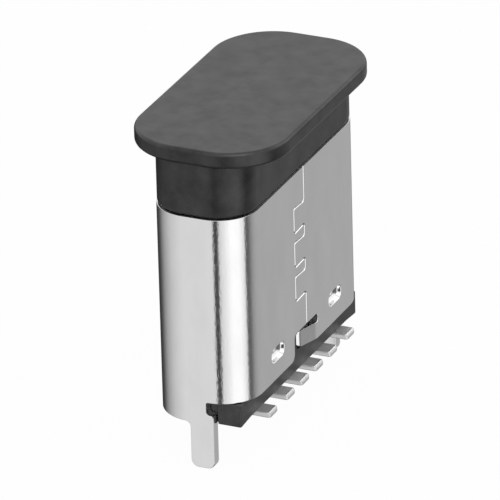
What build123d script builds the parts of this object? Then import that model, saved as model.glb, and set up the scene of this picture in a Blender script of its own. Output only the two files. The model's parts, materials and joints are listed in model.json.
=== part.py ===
"""Upright USB-C power receptacle with its pick-up cap, made to be soldered to a board.

Sizes are in millimetres. The origin lies on the board's top face under the middle of the mouth.
Z points up towards the plug, X runs along the mouth, and the six solder tails leave towards -Y.
"""

import os

from build123d import *

os.makedirs("parts", exist_ok=True)

# Mouth, the opening that a plug enters
mouth_length = 8.34
mouth_width = 2.56
mouth_corner = 0.94
mouth_depth = 4.80

# Shell, folded from sheet into a tube round the mouth
sheet = 0.30
rim_height = 6.83
rim_round = 0.05
shell_lift = 0.16
front_edge = 0.86

# Board pegs, which grow out of the shell's two ends
peg_width = 0.77
left_peg_shift = -0.135
right_peg_shift = -0.285
peg_reach = 1.30
peg_tip_round = 0.24
peg_root_round = 0.17
relief_height = 0.40
relief_reach = 0.23
relief_round = 0.12
relief_top_round = 0.05

# Butt seam in the front wall, locked by three dovetail tongues
seam_shift = 0.02
seam_gap = 0.04
tongue_count = 3
tongue_pitch = 1.11
tongue_height = 0.73
tongue_length = 0.74
tongue_flare = 0.04
tongue_round = 0.06
first_tongue_drop = 1.12

# Catches, dimples pressed from the front wall into the housing
catch_spacing = 4.18
catch_land = 0.56
catch_length = 1.00
catch_height = 0.52
catch_depth = 0.22
catch_slope = 40
catch_growth = 0.06

# Flap, bent into the housing from the notch under the seam
notch_left = 0.88
notch_corner = 0.24
flap_root = 0.76
flap_free = 0.00
flap_bend = 0.34
flap_slot = 0.28
flap_slot_reach = 0.06
flap_land = 0.82
flap_round = 0.20

# Housing, the moulded base
housing_fit = 0.02
base_lift = 0.16
seat_inset = 0.25
foot_drop = 0.05
foot_flat = 0.10
foot_slope = 0.65
block_length = 8.48
block_front = 1.30
block_fit = 0.03
block_edge = 0.06
pocket_fit = 0.05

# Tongue, moulded in two halves round the contacts
tongue_width = 6.50
tongue_thickness = 0.70
tongue_drop = 0.75
nose_bevel = 0.16
root_width = 7.00
root_thickness = 1.10
root_step = 0.50
anchor_thickness = 1.50
anchor_lift = 0.32

# Mid plate between the halves
plate_thickness = 0.12
plate_width = 6.69
plate_tip_gap = 0.30
plate_lift = 0.42
latch_notch_depth = 0.40
latch_notch_height = 1.20
latch_notch_drop = 2.10
latch_notch_round = 0.10

# Contacts: place along X on the tongue and place of the solder tail
contact_sheet = 0.18
contact_bend = 0.10
blade_width = 0.30
tail_width = 0.58
tail_reach = 1.75
tail_round = 0.10
tail_bevel = 0.05
blade_shoulder = 0.60
blade_start = 1.10
power_tip_drop = 0.45
signal_tip_drop = 0.95
signal_place = 0.75
supply_place = 1.25
ground_place = 2.75
signal_tail = 0.52
supply_tail = 1.57
ground_tail = 2.85

# Cap
cap_fit = 0.05
neck_inset = 0.02
neck_height = 1.72
neck_edge = 0.09
flange_length = 9.00
flange_width = 4.90
flange_corner = 1.87
flange_thickness = 0.47
flange_edge = 0.12
plug_depth = 3.20
plug_edge = 0.15
slot_fit = 0.12
slot_roof_gap = 0.15
slot_corner = 0.15

# Sizes that follow from the ones above
shell_length = mouth_length + 2 * sheet
shell_width = mouth_width + 2 * sheet
shell_corner = mouth_corner + sheet
floor_height = rim_height - mouth_depth
tongue_top = rim_height - tongue_drop
peg_shifts = {-1: left_peg_shift, 1: right_peg_shift}
catch_level = front_edge + catch_land + catch_height / 2
slot_top = front_edge + flap_land
flap_top = slot_top - flap_slot
front_wall = Plane.XZ.offset(mouth_width / 2)


# Flap: a strip of the wall bent inwards about its right-hand root
with BuildPart() as flap:
    with BuildSketch(Plane.XY.offset(front_edge)):
        with BuildLine():
            Polyline(
                (flap_root + flap_slot_reach, -shell_width / 2),
                (flap_root, -shell_width / 2),
                (flap_free, -shell_width / 2 + flap_bend),
                (flap_free, -shell_width / 2 + flap_bend + sheet),
                (flap_root, -mouth_width / 2),
                (flap_root + flap_slot_reach, -mouth_width / 2),
                close=True,
            )
        make_face()
    extrude(amount=flap_top - front_edge)
    fillet(flap.edges().filter_by(Axis.Y).group_by(Axis.X)[0], flap_round)

# Lower edges of the shell's two ends: raised front edge, relief beside the peg, peg and back edge
with BuildPart() as ends:
    relief_floor = front_edge - relief_height
    for end, peg_shift in peg_shifts.items():
        peg_front = peg_shift - peg_width / 2
        peg_back = peg_shift + peg_width / 2
        relief_end = peg_front + relief_reach
        with BuildSketch(Plane.YZ):
            with BuildLine():
                FilletPolyline(
                    (-shell_width, 2 * rim_height),
                    (-shell_width, front_edge),
                    (relief_end, front_edge),
                    (relief_end, relief_floor),
                    (peg_front, relief_floor),
                    (peg_front, -peg_reach),
                    (peg_back, -peg_reach),
                    (peg_back, shell_lift),
                    (shell_width, shell_lift),
                    (shell_width, 2 * rim_height),
                    radius=[
                        0,
                        0,
                        relief_top_round,
                        relief_round,
                        relief_round,
                        peg_tip_round,
                        peg_tip_round,
                        peg_root_round,
                        0,
                        0,
                    ],
                    close=True,
                )
            make_face()
        extrude(amount=end * shell_length)

# Shell
with BuildPart() as shell:
    with BuildSketch(Plane.XY.offset(-peg_reach)):
        RectangleRounded(shell_length, shell_width, shell_corner)
        RectangleRounded(mouth_length, mouth_width, mouth_corner, mode=Mode.SUBTRACT)
    extrude(amount=rim_height + peg_reach)
    fillet(shell.edges().group_by(Axis.Z)[-1], rim_round)
    add(ends.part, mode=Mode.INTERSECT)

    # Notch under the seam, with the slot that frees the flap's upper edge
    slot_end = flap_root + flap_slot_reach
    notch_start = -notch_left - 2 * notch_corner
    with BuildSketch(front_wall):
        with BuildLine():
            FilletPolyline(
                (notch_start, front_edge),
                (-notch_left, front_edge),
                (-notch_left, slot_top),
                (slot_end, slot_top),
                (slot_end, front_edge),
                radius=[notch_corner, flap_slot / 2, flap_slot / 2],
            )
            Polyline((slot_end, front_edge), (slot_end, 0), (notch_start, 0), (notch_start, front_edge))
        make_face()
    extrude(amount=2 * sheet, mode=Mode.SUBTRACT)
    add(flap.part)

    # Catches: each dimple raises a boss of its own depth on the wall's inner face
    with BuildSketch(front_wall):
        with Locations((0, catch_level)):
            with GridLocations(catch_spacing, 1, 2, 1):
                SlotOverall(catch_length + 2 * catch_growth, catch_height + 2 * catch_growth)
    extrude(amount=-catch_depth, taper=catch_slope)
    with BuildSketch(front_wall.offset(sheet)):
        with Locations((0, catch_level)):
            with GridLocations(catch_spacing, 1, 2, 1):
                SlotOverall(catch_length, catch_height)
    extrude(amount=-catch_depth, taper=catch_slope, mode=Mode.SUBTRACT)

    # Seam, traced from the rim down to the notch
    seam_path = [(seam_shift, rim_height + sheet)]
    for index in range(tongue_count):
        top = rim_height - first_tongue_drop - index * tongue_pitch
        bottom = top - tongue_height
        tip = seam_shift - tongue_length
        seam_path += [
            (seam_shift, top),
            (tip, top + tongue_flare),
            (tip, bottom - tongue_flare),
            (seam_shift, bottom),
        ]
    seam_path.append((seam_shift, slot_top - seam_gap))
    with BuildSketch(front_wall):
        with BuildLine():
            FilletPolyline(*seam_path, radius=tongue_round)
        trace(line_width=seam_gap)
    extrude(amount=2 * sheet, mode=Mode.SUBTRACT)


def make_contact(face, place, tail_place, tip_drop):
    """Bend one contact: a blade on the tongue's face, a foot in the base and a tail on the board.

    Args:
        face: -1 for the row on the tongue's front face, 1 for the row on its back face.
        place: centre of the blade along X.
        tail_place: centre of the solder tail along X.
        tip_drop: distance from the tongue's nose down to the blade's tip.

    Returns:
        The contact's solid.
    """
    blade_top = tongue_top - tip_drop
    blade_near = -tongue_thickness / 2 if face < 0 else tongue_thickness / 2 - contact_sheet
    bend_place = blade_near - contact_bend
    bend_height = contact_sheet + contact_bend
    outer_bend = contact_sheet + contact_bend
    with BuildPart() as contact:
        # Side view: down the tongue, round the bend and out along the board
        with BuildSketch(Plane.YZ):
            with BuildLine():
                Polyline(
                    (bend_place, 0),
                    (-tail_reach, 0),
                    (-tail_reach, contact_sheet - tail_bevel),
                    (-tail_reach + tail_bevel, contact_sheet),
                    (bend_place, contact_sheet),
                )
                CenterArc((bend_place, bend_height), contact_bend, 270, 90)
                Polyline(
                    (blade_near, bend_height),
                    (blade_near, blade_top),
                    (blade_near + contact_sheet, blade_top),
                    (blade_near + contact_sheet, bend_height),
                )
                CenterArc((bend_place, bend_height), outer_bend, 270, 90)
            make_face()
        extrude(amount=tongue_width, both=True)
        # Front view: the wide tail and foot narrow to the blade
        with BuildSketch(Plane.XZ):
            with BuildLine():
                Polyline(
                    (tail_place - tail_width / 2, 0),
                    (tail_place + tail_width / 2, 0),
                    (tail_place + tail_width / 2, blade_shoulder),
                    (place + blade_width / 2, blade_start),
                    (place + blade_width / 2, blade_top),
                    (place - blade_width / 2, blade_top),
                    (place - blade_width / 2, blade_start),
                    (tail_place - tail_width / 2, blade_shoulder),
                    close=True,
                )
            make_face()
        extrude(amount=2 * tail_reach, both=True, mode=Mode.INTERSECT)
        # Plan view: the tail's tip has round corners
        with BuildSketch():
            with BuildLine():
                FilletPolyline(
                    (-tongue_width, tongue_width),
                    (-tongue_width, -tail_reach + 2 * tail_round),
                    (tail_place - tail_width / 2, -tail_reach + 2 * tail_round),
                    (tail_place - tail_width / 2, -tail_reach),
                    (tail_place + tail_width / 2, -tail_reach),
                    (tail_place + tail_width / 2, -tail_reach + 2 * tail_round),
                    (tongue_width, -tail_reach + 2 * tail_round),
                    (tongue_width, tongue_width),
                    radius=[0, 0, 0, tail_round, tail_round, 0, 0, 0],
                    close=True,
                )
            make_face()
        extrude(amount=tongue_top, mode=Mode.INTERSECT)
    return contact.part


# Contacts: the front row carries the A side of the mating face, the back row the B side
contacts = {
    "contact_a5": make_contact(-1, -signal_place, -signal_tail, signal_tip_drop),
    "contact_a9": make_contact(-1, supply_place, supply_tail, power_tip_drop),
    "contact_a12": make_contact(-1, ground_place, ground_tail, power_tip_drop),
    "contact_b5": make_contact(1, signal_place, signal_tail, signal_tip_drop),
    "contact_b9": make_contact(1, -supply_place, -supply_tail, power_tip_drop),
    "contact_b12": make_contact(1, -ground_place, -ground_tail, power_tip_drop),
}

# Mid plate, with a notch in each side for the plug's latches
plate_top = tongue_top - plate_tip_gap
latch_height = tongue_top - latch_notch_drop
with BuildPart() as mid_plate:
    with BuildSketch(Plane.XZ):
        with Locations((0, (plate_top + plate_lift) / 2)):
            Rectangle(plate_width, plate_top - plate_lift)
        with Locations((-plate_width / 2, latch_height), (plate_width / 2, latch_height)):
            RectangleRounded(
                2 * latch_notch_depth, latch_notch_height, latch_notch_round, mode=Mode.SUBTRACT
            )
    extrude(amount=plate_thickness / 2, both=True)


def make_insert(face):
    """Mould one half of the tongue round its row of contacts.

    Args:
        face: -1 for the front half, 1 for the back half.

    Returns:
        The half's solid, with a seat for each contact that it holds.
    """
    near = plate_thickness / 2
    with BuildPart() as insert:
        half_plane = Plane.XZ.offset(-face * near)
        # Anchor in the base, root step above the floor, and the tongue
        for width, depth, low, high in (
            (root_width, anchor_thickness / 2, anchor_lift, floor_height),
            (root_width, root_thickness / 2, floor_height, floor_height + root_step),
            (tongue_width, tongue_thickness / 2, floor_height + root_step, tongue_top),
        ):
            with BuildSketch(half_plane):
                with Locations((0, (low + high) / 2)):
                    Rectangle(width, high - low)
            extrude(amount=-face * (depth - near))
        nose = insert.faces().sort_by(Axis.Z)[-1].edges().filter_by(Axis.X).sort_by(Axis.Y)
        chamfer(nose[0] if face < 0 else nose[-1], nose_bevel)
        # The plug's latches reach the mid plate through the same notches
        with BuildSketch(Plane.XZ):
            for side in (-1, 1):
                with Locations((side * plate_width / 2, latch_height)):
                    RectangleRounded(2 * latch_notch_depth, latch_notch_height, latch_notch_round)
        extrude(amount=tongue_thickness, both=True, mode=Mode.SUBTRACT)
        for solid in contacts.values():
            add(solid, mode=Mode.SUBTRACT)
    return insert.part


inserts = {"insert_front": make_insert(-1), "insert_back": make_insert(1)}

# Housing: its seat stands on the board, and its edges are raised so that the joints can be seen
with BuildPart() as housing:
    with BuildSketch():
        RectangleRounded(
            mouth_length - 2 * seat_inset, mouth_width - 2 * seat_inset, mouth_corner - seat_inset
        )
    extrude(amount=base_lift)
    with BuildSketch(Plane.XY.offset(base_lift)):
        RectangleRounded(
            mouth_length - 2 * housing_fit, mouth_width - 2 * housing_fit, mouth_corner - housing_fit
        )
    extrude(amount=floor_height - base_lift)
    # Square block under the shell's raised front edge, with a low foot at each end
    foot_level = base_lift - foot_drop
    block_top = front_edge - housing_fit
    for end, peg_shift in peg_shifts.items():
        block_end = end * block_length / 2
        block_back = peg_shift - peg_width / 2 - block_fit
        with BuildSketch(Plane.XZ.offset(block_front)):
            with BuildLine():
                Polyline(
                    (0, base_lift),
                    (block_end - end * (foot_flat + foot_slope), base_lift),
                    (block_end - end * foot_flat, foot_level),
                    (block_end, foot_level),
                    (block_end, block_top),
                    (0, block_top),
                    close=True,
                )
            make_face()
        extrude(amount=-(block_front + block_back))
    fillet(housing.edges().filter_by(Axis.Z).group_by(Axis.Y)[0], block_edge)
    # Pockets for the catches and the flap
    with BuildSketch(front_wall):
        with Locations((0, catch_level)):
            with GridLocations(catch_spacing, 1, 2, 1):
                SlotOverall(
                    catch_length + 2 * catch_growth + 2 * pocket_fit,
                    catch_height + 2 * catch_growth + 2 * pocket_fit,
                )
    extrude(amount=-(catch_depth + pocket_fit), mode=Mode.SUBTRACT)
    flap_pocket_left = flap_free - pocket_fit
    flap_pocket_right = flap_root + flap_slot_reach
    with BuildSketch(front_wall.offset(sheet)):
        with Locations(((flap_pocket_left + flap_pocket_right) / 2, (front_edge + flap_top) / 2)):
            Rectangle(
                flap_pocket_right - flap_pocket_left, flap_top - front_edge + 2 * pocket_fit
            )
    extrude(amount=-(sheet + flap_bend + pocket_fit), mode=Mode.SUBTRACT)
    for solid in [*inserts.values(), *contacts.values(), mid_plate.part]:
        add(solid, mode=Mode.SUBTRACT)

# Cap: flange, neck on the rim, and a plug that straddles the tongue
with BuildPart() as cap:
    with BuildSketch(Plane.XY.offset(rim_height + neck_height)):
        RectangleRounded(flange_length, flange_width, flange_corner)
    extrude(amount=flange_thickness)
    fillet(cap.edges().filter_by(Axis.Z, reverse=True), flange_edge)
    with BuildSketch(Plane.XY.offset(rim_height + neck_height + flange_thickness / 2)):
        RectangleRounded(
            shell_length - 2 * neck_inset, shell_width - 2 * neck_inset, shell_corner - neck_inset
        )
    extrude(amount=-neck_height - flange_thickness / 2)
    chamfer(cap.edges().group_by(Axis.Z)[0], neck_edge)
    with BuildSketch(Plane.XY.offset(rim_height)):
        RectangleRounded(
            mouth_length - 2 * cap_fit, mouth_width - 2 * cap_fit, mouth_corner - cap_fit
        )
    extrude(amount=-plug_depth)
    chamfer(cap.edges().group_by(Axis.Z)[0], plug_edge)
    slot_roof = tongue_top + slot_roof_gap
    with BuildSketch(Plane.XY.offset(rim_height - plug_depth)):
        RectangleRounded(
            plate_width + 2 * slot_fit, tongue_thickness + 2 * slot_fit, slot_corner
        )
    extrude(amount=slot_roof - rim_height + plug_depth, mode=Mode.SUBTRACT)

pieces = {
    "cap": cap.part,
    "shell": shell.part,
    "housing": housing.part,
    "mid_plate": mid_plate.part,
    **inserts,
    **contacts,
}
for name, piece in pieces.items():
    piece.label = name
    export_step(piece, f"parts/{name}.step")
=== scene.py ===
"""Dresses the upright USB-C power receptacle and lights it as a studio product picture.

Pieces are shaped in millimetres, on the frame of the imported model, and brought to metres when
they are finished. The origin is on the board's top face under the middle of the mouth, Z points
up to the plug, X runs along the mouth and the solder tails leave towards -Y.
"""

from __future__ import annotations

import json
import logging
import math
from collections.abc import Callable, Sequence
from dataclasses import dataclass
from enum import Enum

import bmesh
import bpy
from mathutils import Matrix, Vector

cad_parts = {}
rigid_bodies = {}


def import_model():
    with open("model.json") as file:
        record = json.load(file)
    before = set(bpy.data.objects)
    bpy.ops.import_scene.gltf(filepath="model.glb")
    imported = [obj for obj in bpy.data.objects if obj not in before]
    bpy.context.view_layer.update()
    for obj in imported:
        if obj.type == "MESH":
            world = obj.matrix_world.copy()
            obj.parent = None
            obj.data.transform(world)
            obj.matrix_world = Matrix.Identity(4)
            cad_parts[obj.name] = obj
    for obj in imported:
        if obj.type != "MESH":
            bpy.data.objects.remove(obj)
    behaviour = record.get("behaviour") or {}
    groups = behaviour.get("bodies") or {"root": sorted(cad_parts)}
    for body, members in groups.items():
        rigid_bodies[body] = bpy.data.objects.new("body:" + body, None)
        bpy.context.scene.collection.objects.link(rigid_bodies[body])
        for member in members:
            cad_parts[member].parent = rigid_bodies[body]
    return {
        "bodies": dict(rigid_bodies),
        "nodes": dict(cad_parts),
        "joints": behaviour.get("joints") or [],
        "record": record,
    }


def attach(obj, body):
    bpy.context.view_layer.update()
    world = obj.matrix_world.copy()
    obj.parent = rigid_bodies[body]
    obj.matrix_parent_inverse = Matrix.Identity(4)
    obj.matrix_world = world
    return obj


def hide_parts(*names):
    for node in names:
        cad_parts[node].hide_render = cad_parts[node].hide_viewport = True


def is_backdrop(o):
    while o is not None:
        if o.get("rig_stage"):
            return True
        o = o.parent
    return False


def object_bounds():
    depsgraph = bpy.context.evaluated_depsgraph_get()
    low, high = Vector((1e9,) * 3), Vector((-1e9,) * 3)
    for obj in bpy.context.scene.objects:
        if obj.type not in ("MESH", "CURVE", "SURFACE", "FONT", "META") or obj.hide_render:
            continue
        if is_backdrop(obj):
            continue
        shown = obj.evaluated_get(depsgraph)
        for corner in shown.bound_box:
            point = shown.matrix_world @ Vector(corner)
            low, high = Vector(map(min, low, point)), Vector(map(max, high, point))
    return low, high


LOG = logging.getLogger("receptacle")
MM = 0.001
# Places this close together, in millimetres, count as the same
SAME = 1e-4
# Corners of a mesh this close together are welded into one
WELD = 0.0008
# How far a corner may lie off a wall's true line and still belong to it
WALL_SLACK = 0.003
# How far a cutting tool reaches past what it cuts
SPARE = 0.1
WHITE = (1, 1, 1, 1)


class Drawing(Enum):
    """A plane that an outline is drawn on, and the axis that it grows along."""

    PLAN = "Z"
    FRONT = "Y"
    END = "X"

    def at(self, first: float, second: float, depth: float) -> Vector:
        """Puts a point of the drawing in space.

        Args:
            first: its first coordinate: X in plan and front views, Y in the end view.
            second: its second coordinate: Y in plan, Z in the other views.
            depth: its place along the axis that the outline grows along.

        Returns:
            The point in space.
        """
        if self is Drawing.PLAN:
            return Vector((first, second, depth))
        if self is Drawing.FRONT:
            return Vector((first, depth, second))
        return Vector((depth, first, second))


class Cut(Enum):
    """What a tool does to the piece that it meets."""

    TAKE = "DIFFERENCE"
    JOIN = "UNION"
    KEEP = "INTERSECT"


def hold(piece: bpy.types.Object) -> None:
    """Selects one piece and nothing else."""
    bpy.ops.object.select_all(action="DESELECT")
    piece.select_set(True)
    bpy.context.view_layer.objects.active = piece


def pick(piece: bpy.types.Object, kind: str, wanted: Callable[[list[Vector]], bool]) -> None:
    """Selects parts of the piece that is open in edit mode.

    Args:
        piece: the piece in edit mode.
        kind: VERT, EDGE or FACE.
        wanted: says from its corners' places whether a part is chosen.
    """
    bpy.ops.mesh.select_mode(type=kind)
    bpy.ops.mesh.select_all(action="DESELECT")
    mesh = bmesh.from_edit_mesh(piece.data)
    parts = {"VERT": mesh.verts, "EDGE": mesh.edges, "FACE": mesh.faces}[kind]
    for part in parts:
        spots = [part.co] if kind == "VERT" else [corner.co for corner in part.verts]
        if wanted(spots):
            part.select_set(True)
    bmesh.update_edit_mesh(piece.data)


def draw(
    name: str,
    drawing: Drawing,
    corners: Sequence[tuple[float, float]],
    depth: float,
    radii: Sequence[float] = (),
    steps: int = 6,
    closed: bool = True,
) -> bpy.types.Object:
    """Draws an outline point by point and rounds its corners.

    Args:
        name: name of the new piece.
        drawing: plane of the drawing.
        corners: the outline's corners in order.
        depth: where the drawing lies along its own axis.
        radii: how far each corner's rounding reaches along its sides, which is the radius of a
            square corner, 0 for a sharp one; empty for all sharp.
        steps: segments in a rounded corner.
        closed: fills the outline with a face, or leaves it an open line.

    Returns:
        The drawing as an object in object mode.
    """
    bpy.ops.object.select_all(action="DESELECT")
    bpy.ops.mesh.primitive_plane_add(size=1)
    piece = bpy.context.object
    piece.name = name
    bpy.ops.object.mode_set(mode="EDIT")
    bpy.ops.mesh.select_mode(type="VERT")
    bpy.ops.mesh.select_all(action="SELECT")
    bpy.ops.mesh.merge(type="CENTER")
    spots = [drawing.at(first, second, depth) for first, second in corners]
    bpy.ops.transform.translate(value=spots[0])
    for here, there in zip(spots, spots[1:]):
        bpy.ops.mesh.extrude_vertices_move(TRANSFORM_OT_translate={"value": there - here})
    if closed:
        bpy.ops.mesh.select_all(action="SELECT")
        bpy.ops.mesh.edge_face_add()
    for radius in sorted(set(radii) - {0}):
        round_here = [spot for spot, size in zip(spots, radii) if size == radius]
        pick(piece, "VERT", lambda places: any((places[0] - s).length < SAME for s in round_here))
        bpy.ops.mesh.bevel(offset=radius, segments=steps, affect="VERTICES")
    bpy.ops.object.mode_set(mode="OBJECT")
    return piece


def grow(piece: bpy.types.Object, move: Vector) -> bpy.types.Object:
    """Extrudes a flat drawing into a solid and turns its faces outwards."""
    hold(piece)
    bpy.ops.object.mode_set(mode="EDIT")
    bpy.ops.mesh.select_all(action="SELECT")
    bpy.ops.mesh.extrude_region_move(TRANSFORM_OT_translate={"value": move})
    bpy.ops.mesh.select_all(action="SELECT")
    bpy.ops.mesh.normals_make_consistent(inside=False)
    bpy.ops.object.mode_set(mode="OBJECT")
    return piece


def soften(
    piece: bpy.types.Object, wanted: Callable[[list[Vector]], bool], radius: float, steps: int = 4
) -> None:
    """Rounds the chosen edges of a piece in edit mode.

    Args:
        piece: the piece.
        wanted: says from its two ends whether an edge is chosen.
        radius: size of the rounding.
        steps: segments across it.
    """
    hold(piece)
    bpy.ops.object.mode_set(mode="EDIT")
    pick(piece, "EDGE", wanted)
    bpy.ops.mesh.bevel(offset=radius, segments=steps, affect="EDGES")
    bpy.ops.object.mode_set(mode="OBJECT")


def combine(piece: bpy.types.Object, tool: bpy.types.Object, cut: Cut) -> None:
    """Takes a tool from a piece, joins it on or keeps what both share; the tool is used up."""
    hold(piece)
    modifier = piece.modifiers.new("cut", "BOOLEAN")
    modifier.operation = cut.value
    modifier.solver = "EXACT"
    modifier.object = tool
    bpy.ops.object.modifier_apply(modifier=modifier.name)
    bpy.data.objects.remove(tool, do_unlink=True)


def complete(piece: bpy.types.Object, edge: float, steps: int = 2, sharp: float = 28) -> None:
    """Breaks a piece's sharp edges, shades it and brings it from millimetres to metres.

    Args:
        piece: the piece, shaped in millimetres.
        edge: width of the broken edges.
        steps: segments across each.
        sharp: angle in degrees from which an edge counts as sharp.
    """
    hold(piece)
    bpy.ops.object.mode_set(mode="EDIT")
    bpy.ops.mesh.select_all(action="SELECT")
    bpy.ops.mesh.remove_doubles(threshold=WELD)
    bpy.ops.object.mode_set(mode="OBJECT")
    if edge:
        modifier = piece.modifiers.new("edges", "BEVEL")
        modifier.width = edge
        modifier.segments = steps
        modifier.limit_method = "ANGLE"
        modifier.angle_limit = math.radians(sharp)
        modifier.use_clamp_overlap = False
        bpy.ops.object.modifier_apply(modifier=modifier.name)
    # A little more than the sharp angle, so that a broken edge's own facets are smoothed too
    bpy.ops.object.shade_smooth_by_angle(angle=math.radians(sharp + 8))
    modifier = piece.modifiers.new("shading", "WEIGHTED_NORMAL")
    modifier.keep_sharp = True
    bpy.ops.object.modifier_apply(modifier=modifier.name)
    bpy.ops.transform.resize(value=(MM, MM, MM), center_override=(0, 0, 0))
    bpy.ops.object.transform_apply(location=True, rotation=True, scale=True)


@dataclass(frozen=True)
class Plan:
    """A rounded rectangle seen from above, as the true line of a piece's upright walls.

    Attributes:
        length: size along X.
        width: size along Y.
        corner: radius of its corners.
        centre: its middle in plan.
    """

    length: float
    width: float
    corner: float
    centre: tuple[float, float] = (0.0, 0.0)

    def inset(self, amount: float) -> Plan:
        """Pulls the plan in all round."""
        return Plan(
            self.length - 2 * amount, self.width - 2 * amount, self.corner - amount, self.centre
        )

    def bar(self, name: str, low: float, high: float, steps: int = 24) -> bpy.types.Object:
        """Makes a bar with this plan between two heights.

        Args:
            name: name of the new piece.
            low: height of its lower face.
            high: height of its upper face.
            steps: segments in a quarter turn.

        Returns:
            The bar.
        """
        across, deep = self.centre
        x, y = self.length / 2, self.width / 2
        corners = [(-x, -y), (x, -y), (x, y), (-x, y)]
        corners = [(first + across, second + deep) for first, second in corners]
        outline = draw(name, Drawing.PLAN, corners, low, [self.corner] * 4, steps)
        return grow(outline, Vector((0, 0, high - low)))

    def outward(self, spot: Vector) -> Vector | None:
        """Gives the wall's true outward direction at a spot, or None if it isn't on the wall."""
        reach_x = self.length / 2 - self.corner
        reach_y = self.width / 2 - self.corner
        x, y = spot.x - self.centre[0], spot.y - self.centre[1]
        away = Vector((x - max(-reach_x, min(reach_x, x)), y - max(-reach_y, min(reach_y, y)), 0))
        if abs(away.length - self.corner) > WALL_SLACK:
            return None
        return away.normalized()


def true_walls(piece: bpy.types.Object, plans: Sequence[Plan]) -> None:
    """Shades a piece's upright walls as exactly flat and round, whatever is cut into them.

    Args:
        piece: the finished piece, in metres.
        plans: the plans of its walls in millimetres, outer and inner ones.
    """
    facing = 0.6
    mesh = piece.data
    normals = [corner.vector.copy() for corner in mesh.corner_normals]
    for face in mesh.polygons:
        for place in face.loop_indices:
            spot = mesh.vertices[mesh.loops[place].vertex_index].co / MM
            for plan in plans:
                true = plan.outward(spot)
                if true and abs(true.dot(face.normal)) > facing:
                    normals[place] = true if true.dot(face.normal) > 0 else -true
    mesh.normals_split_custom_set(normals)


def linear(code: str) -> tuple[float, float, float, float]:
    """Turns an sRGB hex colour such as #8A8A8A into Blender's linear values."""
    parts = [int(code[place : place + 2], 16) / 255 for place in (1, 3, 5)]
    turned = [
        part / 12.92 if part <= 0.04045 else ((part + 0.055) / 1.055) ** 2.4 for part in parts
    ]
    return (*turned, 1.0)


def add_node(
    tree: bpy.types.NodeTree, kind: str, settings: dict | None = None, links: dict | None = None
) -> bpy.types.Node:
    """Adds a node to a material.

    Args:
        tree: the material's nodes.
        kind: Blender's name for the node's type.
        settings: values by the name of an input or of a property.
        links: outputs to connect, by the name of the input that takes each.

    Returns:
        The new node.
    """
    node = tree.nodes.new(kind)
    for name, value in (settings or {}).items():
        if name in node.inputs:
            node.inputs[name].default_value = value
        else:
            setattr(node, name, value)
    for name, output in (links or {}).items():
        tree.links.new(output, node.inputs[name])
    return node


def noise(
    tree: bpy.types.NodeTree,
    place: bpy.types.NodeSocket,
    size: float,
    detail: float,
    rough: float,
) -> bpy.types.NodeSocket:
    """Adds a noise.

    Args:
        tree: the material's nodes.
        place: the coordinates that it follows.
        size: size of its blotches in millimetres.
        detail: how many finer layers lie over them.
        rough: how strong the finer layers are.

    Returns:
        Its value, about 0.5 on average.
    """
    settings = {"Scale": 1 / (size * MM), "Detail": detail, "Roughness": rough}
    return add_node(tree, "ShaderNodeTexNoise", settings, {"Vector": place}).outputs["Fac"]


def remap(
    tree: bpy.types.NodeTree,
    value: bpy.types.NodeSocket,
    low: float,
    high: float,
    start: float = 0.0,
    end: float = 1.0,
) -> bpy.types.NodeSocket:
    """Turns values from start to end into values from low to high."""
    settings = {"From Min": start, "From Max": end, "To Min": low, "To Max": high}
    return add_node(tree, "ShaderNodeMapRange", settings, {"Value": value}).outputs["Result"]


def two_tone(
    tree: bpy.types.NodeTree,
    value: bpy.types.NodeSocket,
    *stops: tuple[float, str],
) -> bpy.types.NodeSocket:
    """Turns a value into a colour between two colours, each at its own value."""
    ramp = add_node(tree, "ShaderNodeValToRGB", links={"Fac": value})
    for element, (spot, colour) in zip(ramp.color_ramp.elements, stops):
        element.position = spot
        element.color = linear(colour)
    return ramp.outputs["Color"]


def relief(
    tree: bpy.types.NodeTree, height: bpy.types.NodeSocket, depth: float
) -> bpy.types.NodeSocket:
    """Bends a surface by a height map of that depth in millimetres."""
    settings = {"Strength": 1.0, "Distance": depth * MM}
    return add_node(tree, "ShaderNodeBump", settings, {"Height": height}).outputs["Normal"]


def mix(
    tree: bpy.types.NodeTree,
    share: bpy.types.NodeSocket,
    first: bpy.types.Node,
    second: bpy.types.Node,
) -> bpy.types.Node:
    """Mixes two shaders: a share of 0 gives the first one, and 1 the second."""
    node = add_node(tree, "ShaderNodeMixShader", links={"Fac": share})
    tree.links.new(first.outputs[0], node.inputs[1])
    tree.links.new(second.outputs[0], node.inputs[2])
    return node


def any_ray(tree: bpy.types.NodeTree, *kinds: str) -> bpy.types.NodeSocket:
    """Gives 1 for rays of these kinds, such as Is Camera Ray, and 0 for all others."""
    path = add_node(tree, "ShaderNodeLightPath")
    found = path.outputs[kinds[0]]
    for kind in kinds[1:]:
        node = add_node(tree, "ShaderNodeMath", {"operation": "MAXIMUM"})
        tree.links.new(found, node.inputs[0])
        tree.links.new(path.outputs[kind], node.inputs[1])
        found = node.outputs[0]
    return found


def blank_material(name: str) -> tuple[bpy.types.Material, bpy.types.NodeTree]:
    """Starts a node material with nothing in it."""
    material = bpy.data.materials.new(name)
    material.use_nodes = True
    material.node_tree.nodes.clear()
    return material, material.node_tree


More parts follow.
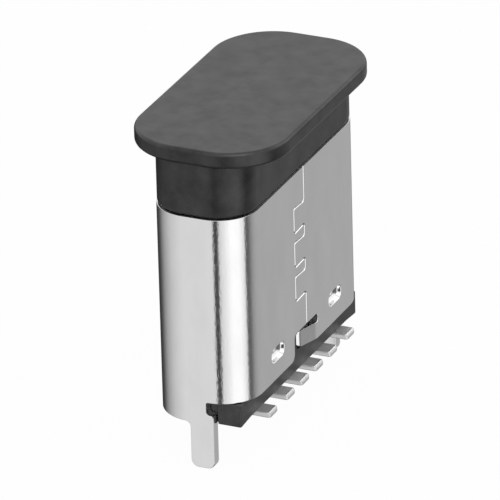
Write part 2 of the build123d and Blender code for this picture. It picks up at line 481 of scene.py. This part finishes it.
@dataclass(frozen=True)
class MouldedPolymer:
    """Black glass-filled polymer from a spark-eroded mould: matt, with a very fine grain.

    Attributes:
        name: name of the finish.
        colour: body colour.
        mottle: colour of the slightly paler flow clouds.
        roughness: how far the grain spreads a reflection.
        grain: size of the mould's grain in millimetres.
        relief: depth of the grain in millimetres.
        cloud: size of the flow clouds in millimetres.
        patchy: how far the clouds raise and lower the sheen.
    """

    name: str
    colour: str
    mottle: str
    roughness: float
    grain: float = 0.06
    relief: float = 0.0022
    cloud: float = 0.7
    patchy: float = 0.14

    def make(self) -> bpy.types.Material:
        """Builds the material."""
        material, tree = blank_material(self.name)
        place = add_node(tree, "ShaderNodeTexCoord").outputs["Object"]
        clouds = noise(tree, place, self.cloud, 4.0, 0.6)
        grain = noise(tree, place, self.grain, 2.0, 0.5)
        even = 0.5
        shader = add_node(
            tree,
            "ShaderNodeBsdfPrincipled",
            {"IOR": 1.55},
            {
                "Base Color": two_tone(tree, clouds, (0.35, self.colour), (0.68, self.mottle)),
                "Roughness": remap(tree, clouds, self.roughness - 0.04, self.roughness + 0.05),
                "Specular IOR Level": remap(
                    tree, clouds, even - self.patchy, even + self.patchy, 0.3, 0.7
                ),
                "Normal": relief(tree, grain, self.relief),
            },
        )
        add_node(tree, "ShaderNodeOutputMaterial", links={"Surface": shader.outputs["BSDF"]})
        return material


@dataclass(frozen=True)
class RolledMetal:
    """Bright metal strip: a metal's mirror, a little spread and bent by the mill's grain.

    Attributes:
        name: name of the finish.
        colour: colour of the reflection.
        dull: its colour where the strip is slightly duller.
        roughness: how far the surface spreads a reflection.
        grain: spacing of the rolling grain in millimetres.
        stretch: how much longer than wide the grain is, along X, Y and Z.
        relief: depth of the grain in millimetres.
        cloud: size of the duller patches in millimetres.
    """

    name: str
    colour: str
    dull: str
    roughness: float
    grain: float = 0.07
    stretch: tuple[float, float, float] = (1.0, 1.0, 2.0)
    relief: float = 0.0030
    cloud: float = 0.9

    def make(self) -> bpy.types.Material:
        """Builds the material."""
        material, tree = blank_material(self.name)
        place = add_node(tree, "ShaderNodeTexCoord")
        along = add_node(
            tree,
            "ShaderNodeMapping",
            {"Scale": tuple(1 / part for part in self.stretch)},
            {"Vector": place.outputs["Object"]},
        ).outputs["Vector"]
        clouds = noise(tree, along, self.cloud, 3.0, 0.6)
        grain = noise(tree, along, self.grain, 3.0, 0.6)
        shader = add_node(
            tree,
            "ShaderNodeBsdfPrincipled",
            {"Metallic": 1.0},
            {
                "Base Color": two_tone(tree, clouds, (0.3, self.dull), (0.7, self.colour)),
                "Roughness": remap(tree, grain, self.roughness - 0.03, self.roughness + 0.04),
                "Normal": relief(tree, grain, self.relief),
            },
        )
        add_node(tree, "ShaderNodeOutputMaterial", links={"Surface": shader.outputs["BSDF"]})
        return material


# Pick-up cap: black glass-filled nylon, moulded matt. Its flat top only shows a soft grey sheen.
CAP_NYLON = MouldedPolymer("moulded_nylon_black", "#191919", "#222222", 0.33)
# Base: black liquid-crystal polymer, a little greyer and duller than the cap.
BASE_POLYMER = MouldedPolymer("liquid_crystal_polymer_black", "#2A2A2A", "#333333", 0.45)
# Tongue: the same polymer, with the smooth face of a polished mould.
TONGUE_POLYMER = MouldedPolymer("liquid_crystal_polymer_smooth", "#1B1B1B", "#212121", 0.36)
# Shell: bright-annealed stainless strip, nearly a mirror, which bends into soft bands at corners.
SHELL_STAINLESS = RolledMetal("stainless_bright_annealed", "#F4F4F4", "#EDEDED", 0.12)
# Mid plate: cold-rolled stainless, duller than the shell.
PLATE_STAINLESS = RolledMetal("stainless_cold_rolled", "#CFCFCE", "#C2C2C1", 0.28)
# Contacts: copper alloy with matt tin plating on nickel, a soft silvery grey.
CONTACT_TIN = RolledMetal("copper_alloy_tin_plated", "#FAFAF9", "#EDEDEC", 0.47, relief=0.0008)


def dress(piece: bpy.types.Object, finish: bpy.types.Material) -> None:
    """Gives a piece one finish all over."""
    piece.data.materials.clear()
    piece.data.materials.append(finish)


def stand_in(piece: bpy.types.Object, body: str, slot: str, *nodes: str) -> None:
    """Ties a finished piece to its CAD body and puts it in the place of its CAD nodes."""
    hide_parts(*nodes)
    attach(piece, body)
    LOG.info("%s stands for %s on %s", piece.name, ", ".join(nodes), body)


@dataclass
class Mouth:
    """The rim that a plug enters, which the shell and the cap share.

    Attributes:
        plan: outside of the shell.
        sheet: thickness of the shell's sheet.
        rim: height of its rim above the board.
    """

    plan: Plan = Plan(8.94, 3.16, 1.24)
    sheet: float = 0.30
    rim: float = 6.83


@dataclass
class Cap:
    """The moulded pick-up cap: a flange, a neck on the rim and a plug in the mouth.

    Attributes:
        mouth: the mouth that it closes.
        flange: plan of the flange.
        flange_thickness: its thickness.
        flange_edge: rounding of its upper and lower edge.
        neck_inset: how far the neck's sides lie inside the shell's.
        neck_height: from the rim to the flange.
        neck_chamfer: chamfer of the neck's lower edge.
        plug_fit: gap between the plug and the mouth.
        plug_depth: how far the plug reaches below the rim.
        plug_chamfer: chamfer of its end.
        slot: plan of the slot that clears the tongue.
        slot_roof: height at which that slot ends.
        edge: width of all other broken edges.
    """

    mouth: Mouth
    flange: Plan = Plan(8.96, 4.84, 1.88, (-0.018, 0.03))
    flange_thickness: float = 0.51
    flange_edge: float = 0.12
    neck_inset: float = 0.02
    neck_height: float = 1.68
    neck_chamfer: float = 0.09
    plug_fit: float = 0.05
    plug_depth: float = 3.20
    plug_chamfer: float = 0.15
    slot: Plan = Plan(6.93, 0.94, 0.15)
    slot_roof: float = 6.23
    edge: float = 0.03

    def build(self) -> bpy.types.Object:
        """Shapes the cap, gives it its finish and ties it to its body.

        Returns:
            The finished cap.
        """
        rim = self.mouth.rim
        under = rim + self.neck_height
        top = under + self.flange_thickness
        neck_plan = self.mouth.plan.inset(self.neck_inset)
        plug_plan = self.mouth.plan.inset(self.mouth.sheet + self.plug_fit)
        cap = self.flange.bar("cap_moulding", under, top)
        soften(cap, lambda ends: abs(ends[0].z - ends[1].z) < SAME, self.flange_edge, steps=5)
        neck = neck_plan.bar("neck", rim, under + self.flange_thickness / 2)
        soften(neck, lambda ends: all(end.z < rim + SAME for end in ends), self.neck_chamfer, 1)
        plug = plug_plan.bar("plug", rim - self.plug_depth, rim + self.neck_height / 2)
        plug_end = rim - self.plug_depth + SAME
        soften(plug, lambda ends: all(end.z < plug_end for end in ends), self.plug_chamfer, 1)
        combine(neck, plug, Cut.JOIN)
        combine(cap, neck, Cut.JOIN)
        slot = self.slot.bar("slot", rim - self.plug_depth - 1, self.slot_roof, 6)
        combine(cap, slot, Cut.TAKE)
        complete(cap, self.edge)
        true_walls(cap, [self.flange, neck_plan, plug_plan])
        dress(cap, CAP_NYLON.make())
        stand_in(cap, "cap", "cap_plastic", "cap")
        return cap


@dataclass
class Shell:
    """The folded stainless tube with its pegs, seam, dimples and flap.

    Attributes:
        mouth: the mouth that its upper end forms.
        front_edge: height of the front wall's lower edge.
        back_edge: height of the back wall's lower edge.
        left_peg, right_peg: front and back side of each peg along Y.
        peg_end: height of the pegs' tips, under the board.
        relief_reach: length of the relief beside each peg.
        relief_floor: height of its floor.
        relief_rounds: rounding of its upper corner and of its two lower ones.
        peg_rounds: rounding of a peg's tip and of its root.
        seam_place: where the seam runs along X.
        seam_gap: width of the seam.
        seam_round: rounding of its corners.
        seam_lip: rounding of the edges along it.
        tongue_tops: heights of the tops of the locking tongues.
        tongue_height, tongue_length: their size.
        tongue_flare: how much a tongue's end is higher and lower than its root.
        dimples: places of the pressed dimples along X.
        dimple_level: their height.
        dimple_size, dimple_waist, dimple_foot: size of a dimple at the wall, halfway and at its
            bottom.
        dimple_depths: depth of its waist and of its bottom.
        dimple_corner, dimple_lip: rounding of its corners and of its edge on the wall.
        dimple_waist_round, dimple_foot_round: rounding of its edges inside.
        notch_left: left side of the notch under the seam.
        notch_corner: rounding of the notch's lower left corner.
        slot_top, slot_end, slot_round: roof, right end and corners of the slot over the flap.
        flap_root, flap_tip: where the flap starts to bend, and its free end.
        flap_bend: how far the free end is bent in.
        flap_overlap: how far the flap's root reaches into the wall that it grows from.
        flap_root_round, flap_tip_round: rounding of the bend and of the free end's outer edge.
        flap_corner: rounding of the free end's two corners.
        flap_top: height of the flap's upper edge.
        edge: width of all other broken edges.
        steps: segments in a rounded corner.
    """

    mouth: Mouth
    front_edge: float = 0.86
    back_edge: float = 0.16
    left_peg: tuple[float, float] = (-0.52, 0.25)
    right_peg: tuple[float, float] = (-0.67, 0.10)
    peg_end: float = -1.30
    relief_reach: float = 0.23
    relief_floor: float = 0.46
    relief_rounds: tuple[float, float] = (0.05, 0.11)
    peg_rounds: tuple[float, float] = (0.24, 0.17)
    seam_place: float = 0.02
    seam_gap: float = 0.02
    seam_round: float = 0.10
    seam_lip: float = 0.045
    tongue_tops: tuple[float, ...] = (5.71, 4.60, 3.49)
    tongue_height: float = 0.73
    tongue_length: float = 0.74
    tongue_flare: float = 0.04
    dimples: tuple[float, float] = (-2.09, 2.09)
    dimple_level: float = 1.68
    dimple_size: tuple[float, float] = (0.92, 0.46)
    dimple_waist: tuple[float, float] = (0.85, 0.40)
    dimple_foot: tuple[float, float] = (0.50, 0.16)
    dimple_depths: tuple[float, float] = (0.12, 0.21)
    dimple_lip: float = 0.025
    dimple_corner: float = 0.20
    dimple_waist_round: float = 0.015
    dimple_foot_round: float = 0.05
    notch_left: float = -0.88
    notch_corner: float = 0.24
    slot_top: float = 1.68
    slot_end: float = 0.82
    slot_round: float = 0.14
    flap_root: float = 0.72
    flap_tip: float = -0.13
    flap_bend: float = 0.28
    flap_overlap: float = 0.02
    flap_root_round: float = 0.10
    flap_tip_round: float = 0.15
    flap_corner: float = 0.22
    flap_top: float = 1.40
    edge: float = 0.03
    steps: int = 8

    def end_view(self, end: int, peg: tuple[float, float]) -> bpy.types.Object:
        """Makes the block that one end of the folded blank stays within.

        Args:
            end: -1 for the left end, 1 for the right one.
            peg: the peg's front and back side along Y.

        Returns:
            The block, which reaches from the middle past that end.
        """
        near, far = peg
        relief_end = near + self.relief_reach
        high = self.mouth.rim + 1
        wide = self.mouth.plan.width
        corners = [
            (-wide, high),
            (-wide, self.front_edge),
            (relief_end, self.front_edge),
            (relief_end, self.relief_floor),
            (near, self.relief_floor),
            (near, self.peg_end),
            (far, self.peg_end),
            (far, self.back_edge),
            (wide, self.back_edge),
            (wide, high),
        ]
        upper, lower = self.relief_rounds
        tip, root = self.peg_rounds
        radii = [0, 0, upper, lower, lower, tip, tip, root, 0, 0]
        block = draw("end_view", Drawing.END, corners, 0, radii, self.steps)
        return grow(block, Vector((end * self.mouth.plan.length, 0, 0)))

    def notch(self) -> bpy.types.Object:
        """Makes the punch for the notch and for the slot over the flap."""
        left = self.notch_left - 2 * self.notch_corner
        corners = [
            (left, self.front_edge),
            (self.notch_left, self.front_edge),
            (self.notch_left, self.slot_top),
            (self.slot_end, self.slot_top),
            (self.slot_end, 0),
            (left, 0),
        ]
        radii = [0, self.notch_corner, self.slot_round, self.slot_round, 0, 0]
        start = -self.mouth.plan.width / 2 - SPARE
        punch = draw("notch", Drawing.FRONT, corners, start, radii, self.steps)
        return grow(punch, Vector((0, self.mouth.sheet + 3 * SPARE, 0)))

    def flap(self) -> bpy.types.Object:
        """Makes the strip of wall that is bent into the base under the seam."""
        outer = -self.mouth.plan.width / 2
        inner = outer + self.mouth.sheet
        tip = self.flap_tip
        end = self.slot_end + self.flap_overlap
        corners = [
            (end, outer),
            (self.flap_root, outer),
            (tip, outer + self.flap_bend),
            (tip, inner + self.flap_bend),
            (self.flap_root, inner),
            (end, inner),
        ]
        radii = [0, self.flap_root_round, self.flap_tip_round, 0, self.flap_root_round, 0]
        flap = draw("flap", Drawing.PLAN, corners, self.front_edge, radii, self.steps)
        grow(flap, Vector((0, 0, self.flap_top - self.front_edge)))
        low, high = self.front_edge, self.flap_top
        past = 10 * SPARE
        corners = [(past, low), (past, high), (tip, high), (tip, low)]
        radii = [0, 0, self.flap_corner, self.flap_corner]
        front = draw("flap_front", Drawing.FRONT, corners, outer - SPARE, radii, self.steps)
        combine(flap, grow(front, Vector((0, past, 0))), Cut.KEEP)
        return flap

    def dimple(self, place: float) -> bpy.types.Object:
        """Makes the punch for one pressed dimple.

        Args:
            place: centre of the dimple along X.

        Returns:
            A tapered, rounded punch.
        """
        length, height = (size / 2 for size in self.dimple_size)
        corners = [(-length, -height), (length, -height), (length, height), (-length, height)]
        corners = [(place + first, self.dimple_level + second) for first, second in corners]
        face = -self.mouth.plan.width / 2
        waist, foot = (face + depth for depth in self.dimple_depths)
        punch = draw("dimple", Drawing.FRONT, corners, face, [self.dimple_corner] * 4, self.steps)
        grow(punch, Vector((0, waist - face, 0)))
        hold(punch)
        bpy.ops.object.mode_set(mode="EDIT")
        pick(punch, "FACE", lambda spots: all(spot.y > waist - SAME for spot in spots))
        scale = [new / old for new, old in zip(self.dimple_waist, self.dimple_size)]
        centre = (place, waist, self.dimple_level)
        bpy.ops.transform.resize(value=(scale[0], 1, scale[1]), center_override=centre)
        bpy.ops.mesh.extrude_region_move(TRANSFORM_OT_translate={"value": (0, foot - waist, 0)})
        scale = [new / old for new, old in zip(self.dimple_foot, self.dimple_waist)]
        bpy.ops.transform.resize(value=(scale[0], 1, scale[1]), center_override=centre)
        bpy.ops.mesh.bevel(offset=self.dimple_foot_round, segments=3, affect="EDGES")
        pick(punch, "EDGE", lambda spots: all(abs(spot.y - waist) < SAME for spot in spots))
        bpy.ops.mesh.bevel(offset=self.dimple_waist_round, segments=2, affect="EDGES")
        pick(punch, "FACE", lambda spots: all(spot.y < face + SAME for spot in spots))
        bpy.ops.mesh.extrude_region_move(TRANSFORM_OT_translate={"value": (0, -2 * SPARE, 0)})
        bpy.ops.mesh.select_all(action="SELECT")
        bpy.ops.mesh.normals_make_consistent(inside=False)
        bpy.ops.object.mode_set(mode="OBJECT")
        return punch

    def seam(self) -> bpy.types.Object:
        """Makes the thin ribbon that parts the two ends of the blank along their tongues."""
        path = [(self.seam_place, self.mouth.rim + 3 * SPARE)]
        tip = self.seam_place - self.tongue_length
        for top in self.tongue_tops:
            low = top - self.tongue_height
            path += [
                (self.seam_place, top),
                (tip, top + self.tongue_flare),
                (tip, low - self.tongue_flare),
                (self.seam_place, low),
            ]
        path.append((self.seam_place, self.slot_top - 2 * self.seam_gap))
        radii = [0] + [self.seam_round] * (len(path) - 2) + [0]
        start = -self.mouth.plan.width / 2 - SPARE
        ribbon = draw("seam", Drawing.FRONT, path, start, radii, 4, closed=False)
        hold(ribbon)
        bpy.ops.object.mode_set(mode="EDIT")
        bpy.ops.mesh.select_mode(type="EDGE")
        bpy.ops.mesh.select_all(action="SELECT")
        depth = self.mouth.sheet + 2 * SPARE
        bpy.ops.mesh.extrude_region_move(TRANSFORM_OT_translate={"value": (0, depth, 0)})
        bpy.ops.mesh.select_all(action="SELECT")
        bpy.ops.mesh.normals_make_consistent(inside=False)
        bpy.ops.object.mode_set(mode="OBJECT")
        modifier = ribbon.modifiers.new("gap", "SOLIDIFY")
        modifier.thickness = self.seam_gap
        modifier.offset = 0
        modifier.use_even_offset = True
        bpy.ops.object.modifier_apply(modifier=modifier.name)
        return ribbon

    def on_face(self, ends: list[Vector]) -> bool:
        """Says whether an edge lies on the front wall's outside."""
        return all(abs(end.y + self.mouth.plan.width / 2) < SAME for end in ends)

    def on_dimple(self, ends: list[Vector], place: float) -> bool:
        """Says whether an edge is the outline of the dimple at that place along X."""
        reach = self.dimple_size[0] / 2 + SPARE
        return self.on_face(ends) and all(
            abs(end.x - place) < reach and abs(end.z - self.dimple_level) < self.dimple_size[1]
            for end in ends
        )

    def on_seam(self, ends: list[Vector]) -> bool:
        """Says whether an edge runs along the seam, on the front wall's outside."""
        left = self.seam_place - self.tongue_length - SPARE
        middle = (ends[0].z + ends[1].z) / 2
        return (
            self.on_face(ends)
            and all(left < end.x < self.seam_place + SPARE for end in ends)
            and self.slot_top + SAME < middle < self.mouth.rim - SAME
        )

    def build(self) -> bpy.types.Object:
        """Shapes the shell, gives it its finish and ties it to its body.

        Returns:
            The finished shell.
        """
        rim = self.mouth.rim
        bore_plan = self.mouth.plan.inset(self.mouth.sheet)
        shell = self.mouth.plan.bar("shell_sheet", self.peg_end, rim)
        combine(shell, bore_plan.bar("bore", self.peg_end - 1, rim + 1), Cut.TAKE)
        ends = self.end_view(-1, self.left_peg)
        combine(ends, self.end_view(1, self.right_peg), Cut.JOIN)
        combine(shell, ends, Cut.KEEP)
        combine(shell, self.notch(), Cut.TAKE)
        combine(shell, self.flap(), Cut.JOIN)
        for place in self.dimples:
            combine(shell, self.dimple(place), Cut.TAKE)
            soften(shell, lambda ends: self.on_dimple(ends, place), self.dimple_lip)
        combine(shell, self.seam(), Cut.TAKE)
        soften(shell, self.on_seam, self.seam_lip)
        complete(shell, self.edge)
        true_walls(shell, [self.mouth.plan, bore_plan])
        dress(shell, SHELL_STAINLESS.make())
        stand_in(shell, "receptacle", "shell_steel", "shell")
        return shell


@dataclass
class Inside:
    """The base, the tongue and the contacts, whose CAD shapes get broken edges and finishes.

    Attributes:
        contacts: places of the contacts in the mouth.
        weld: corners of a CAD mesh this close together, in millimetres, are merged.
        flat: angle in degrees up to which its triangles are merged into one face.
    """

    frame: dict
    contacts: tuple[str, ...] = ("a5", "a9", "a12", "b5", "b9", "b12")
    weld: float = 0.0005
    flat: float = 1

    def copy(self, node: str, name: str, edge: float) -> bpy.types.Object:
        """Copies a CAD node's mesh, merges its triangles and breaks its edges.

        Args:
            node: name of the CAD node.
            name: name of the new piece.
            edge: width of the broken edges in millimetres.

        Returns:
            The finished copy.
        """
        source = self.frame["nodes"][node]
        hold(source)
        bpy.ops.object.duplicate()
        piece = bpy.context.object
        piece.name = name
        for key in [key for key in piece.keys() if key.startswith("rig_")]:
            del piece[key]
        bpy.ops.object.parent_clear(type="CLEAR")
        hold(piece)
        bpy.ops.transform.resize(value=(1 / MM, 1 / MM, 1 / MM), center_override=(0, 0, 0))
        bpy.ops.object.transform_apply(location=True, rotation=True, scale=True)
        bpy.ops.object.mode_set(mode="EDIT")
        bpy.ops.mesh.select_all(action="SELECT")
        bpy.ops.mesh.remove_doubles(threshold=self.weld)
        bpy.ops.mesh.dissolve_limited(angle_limit=math.radians(self.flat))
        bpy.ops.object.mode_set(mode="OBJECT")
        complete(piece, edge)
        return piece

    def build(self) -> list[bpy.types.Object]:
        """Finishes every piece inside the shell.

        Returns:
            The finished pieces.
        """
        plastic, smooth = BASE_POLYMER.make(), TONGUE_POLYMER.make()
        steel, tin = PLATE_STAINLESS.make(), CONTACT_TIN.make()
        plan = [
            ("housing", "housing_moulding", 0.03, plastic, "base_plastic"),
            ("insert_front", "tongue_front", 0.02, smooth, "tongue_plastic"),
            ("insert_back", "tongue_back", 0.02, smooth, "tongue_plastic"),
            ("mid_plate", "latch_plate", 0.01, steel, "plate_steel"),
        ]
        plan += [
            (f"contact_{row}", f"terminal_{row}", 0.04, tin, "contact_metal")
            for row in self.contacts
        ]
        made = []
        for node, name, edge, finish, slot in plan:
            piece = self.copy(node, name, edge)
            dress(piece, finish)
            stand_in(piece, "receptacle", slot, node)
            made.append(piece)
        return made


@dataclass(frozen=True)
class Surroundings:
    """The white room, with the grey cards and dark gaps between them that shiny faces show.

    Attributes:
        tones: grey level of the low cards by direction, in degrees from +X towards +Y.
        skyline: upward part of a direction at which the cards end and at which all is white.
        pit: downward part of a direction at which the cards are dimmed, and at which they aren't.
        gloom: how much of a card's level is left in the pit.
        soft: strength of the even light that falls on everything.
    """

    tones: tuple[tuple[float, float], ...] = (
        (0, 0.42),
        (15, 0.22),
        (30, 0.04),
        (58, 0.05),
        (70, 0.11),
        (82, 0.25),
        (93, 0.38),
        (101, 0.45),
        (118, 0.60),
        (138, 0.70),
        (155, 0.75),
        (183, 0.77),
        (184.5, 0.05),
        (197, 0.05),
        (199, 0.70),
        (216, 0.90),
        (232, 1.12),
        (255, 1.10),
        (266, 0.92),
        (274, 0.74),
        (275.5, 0.10),
        (288, 0.14),
        (294, 0.26),
        (303, 0.35),
        (315, 0.41),
        (335, 0.42),
    )
    skyline: tuple[float, float] = (-0.05, 0.15)
    pit: tuple[float, float] = (-0.80, -0.62)
    gloom: float = 0.40
    soft: float = 0.62

    def build(self) -> None:
        """Makes the world."""
        world = bpy.data.worlds.new("white_room")
        bpy.context.scene.world = world
        world.use_nodes = True
        tree = world.node_tree
        tree.nodes.clear()
        place = add_node(tree, "ShaderNodeTexCoord").outputs["Generated"]
        parts = add_node(tree, "ShaderNodeSeparateXYZ", links={"Vector": place})
        rise = parts.outputs["Z"]
        cards = add_node(
            tree,
            "ShaderNodeBackground",
            links={
                "Color": self.card_tone(tree, place),
                "Strength": remap(tree, rise, self.gloom, 1, *self.pit),
            },
        )
        white = add_node(tree, "ShaderNodeBackground", {"Color": WHITE, "Strength": 1.0})
        light = add_node(tree, "ShaderNodeBackground", {"Color": WHITE, "Strength": self.soft})
        mirrored = mix(tree, remap(tree, rise, 0, 1, *self.skyline), cards, white)
        lit = mix(tree, any_ray(tree, "Is Glossy Ray"), light, mirrored)
        seen = mix(tree, any_ray(tree, "Is Camera Ray", "Is Transmission Ray"), lit, white)
        add_node(tree, "ShaderNodeOutputWorld", links={"Surface": seen.outputs[0]})

    def card_tone(
        self, tree: bpy.types.NodeTree, place: bpy.types.NodeSocket
    ) -> bpy.types.NodeSocket:
        """Gives the grey level of the card in a direction.

        Args:
            tree: the world's nodes.
            place: the direction.

        Returns:
            The grey level.
        """
        angle = add_node(
            tree, "ShaderNodeTexGradient", {"gradient_type": "RADIAL"}, {"Vector": place}
        )
        ramp = add_node(tree, "ShaderNodeValToRGB", links={"Fac": angle.outputs["Fac"]})
        stops = ramp.color_ramp.elements
        # The radial gradient starts at -X, so a direction lies half a turn further on
        turned = sorted(((degrees / 360 + 0.5) % 1, tone) for degrees, tone in self.tones)
        for spot, tone in turned:
            stops.new(spot).color = (tone, tone, tone, 1)
        joint = (turned[0][1] + turned[-1][1]) / 2
        for end in (stops[0], stops[-1]):
            end.color = (joint, joint, joint, 1)
        return ramp.outputs["Color"]


@dataclass(frozen=True)
class SoftLamp:
    """A square soft lamp that faces the object.

    Attributes:
        name: name of the lamp.
        place: where it hangs, in millimetres.
        size: its width in millimetres.
        watts: its power.
    """

    name: str
    place: tuple[float, float, float]
    size: float
    watts: float

    def hang(self, target: Vector) -> None:
        """Hangs the lamp so that it faces a target given in millimetres."""
        data = bpy.data.lights.new(self.name, "AREA")
        data.size = self.size * MM
        data.energy = self.watts
        lamp = bpy.data.objects.new(self.name, data)
        bpy.context.scene.collection.objects.link(lamp)
        lamp.location = Vector(self.place) * MM
        aim = target - Vector(self.place)
        lamp.rotation_euler = aim.to_track_quat("-Z", "Y").to_euler()


@dataclass(frozen=True)
class Studio:
    """A white table, soft lamps and the camera of the picture.

    Attributes:
        target: the point in millimetres that the middle of the picture shows.
        azimuth: camera's turn about Z in degrees, from -Y towards +X.
        elevation: camera's height in degrees.
        roll: camera's turn about its own axis in degrees.
        distance: from the camera to the target in millimetres.
        lens: focal length in millimetres on the sensor.
        sensor: width of the sensor in millimetres.
        aside, above: how far the point that the camera aims at lies right of and above the target
            in the picture, in millimetres.
        reach: nearest and furthest place that the camera sees, in metres.
        table_size: width of the table in metres.
        table_paint: its colour.
        table_white: share of pure white in what the camera sees of it; the rest takes the shadow.
        lamps: the soft lamps.
    """

    target: tuple[float, float, float] = (0.0, 0.0, 2.83)
    azimuth: float = -65.1931
    elevation: float = 25.3357
    roll: float = -1.5568
    distance: float = 250.0
    lens: float = 603.98
    sensor: float = 36
    aside: float = -0.2239
    above: float = 0.9119
    reach: tuple[float, float] = (0.01, 10)
    table_size: float = 3
    table_paint: str = "#F2F2F2"
    table_white: float = 0.97
    lamps: tuple[SoftLamp, ...] = (
        SoftLamp("key_softbox", (-120, -90, 160), 120, 0.09),
        SoftLamp("fill_softbox", (130, -120, 110), 110, 0.03),
    )

    def camera(self) -> None:
        """Sets the camera where the picture was taken from."""
        turn, lift, lean = (math.radians(a) for a in (self.azimuth, self.elevation, self.roll))
        back = Vector(
            (math.sin(turn) * math.cos(lift), -math.cos(turn) * math.cos(lift), math.sin(lift))
        )
        right = Vector((math.cos(turn), math.sin(turn), 0))
        up = back.cross(right)
        right, up = (
            math.cos(lean) * right + math.sin(lean) * up,
            math.cos(lean) * up - math.sin(lean) * right,
        )
        target = Vector(self.target)
        place = target + self.distance * back
        back = (place - target - self.aside * right - self.above * up).normalized()
        right = up.cross(back).normalized()
        up = back.cross(right)
        data = bpy.data.cameras.new("picture_camera")
        data.lens = self.lens
        data.sensor_width = self.sensor
        data.clip_start, data.clip_end = self.reach
        camera = bpy.data.objects.new("picture_camera", data)
        bpy.context.scene.collection.objects.link(camera)
        matrix = Matrix((right, up, back)).transposed().to_4x4()
        matrix.translation = place * MM
        camera.matrix_world = matrix
        bpy.context.scene.camera = camera

    def table(self, floor: float) -> None:
        """Lays the white table, which keeps a faint shadow under the object.

        Args:
            floor: height of the table in metres.
        """
        material, tree = blank_material("white_table")
        seen = any_ray(tree, "Is Camera Ray", "Is Transmission Ray")
        share = remap(tree, seen, 0, self.table_white)
        paint = add_node(tree, "ShaderNodeBsdfDiffuse", {"Color": linear(self.table_paint)})
        white = add_node(tree, "ShaderNodeEmission", {"Color": WHITE, "Strength": 1.0})
        surface = mix(tree, share, paint, white)
        add_node(tree, "ShaderNodeOutputMaterial", links={"Surface": surface.outputs[0]})
        bpy.ops.object.select_all(action="DESELECT")
        bpy.ops.mesh.primitive_plane_add(size=self.table_size, location=(0, 0, floor))
        table = bpy.context.object
        table.name = "table"
        dress(table, material)
        table.visible_glossy = False
        table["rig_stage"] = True

    def build(self, floor: float) -> None:
        """Sets up the whole studio on a floor at that height in metres."""
        self.camera()
        self.table(floor)
        Surroundings().build()
        for lamp in self.lamps:
            lamp.hang(Vector(self.target))
        bpy.context.scene.view_settings.view_transform = "Standard"
        LOG.info("studio ready on a floor at %.2f mm", floor / MM)


def main() -> None:
    """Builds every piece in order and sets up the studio."""
    logging.basicConfig(level=logging.INFO, format="%(name)s: %(message)s")
    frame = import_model()
    cad_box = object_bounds()
    mouth = Mouth()
    Cap(mouth).build()
    Shell(mouth).build()
    Inside(frame).build()
    Studio().build(min(cad_box[0][2], cad_box[1][2]))


if __name__ == "__main__":
    main()
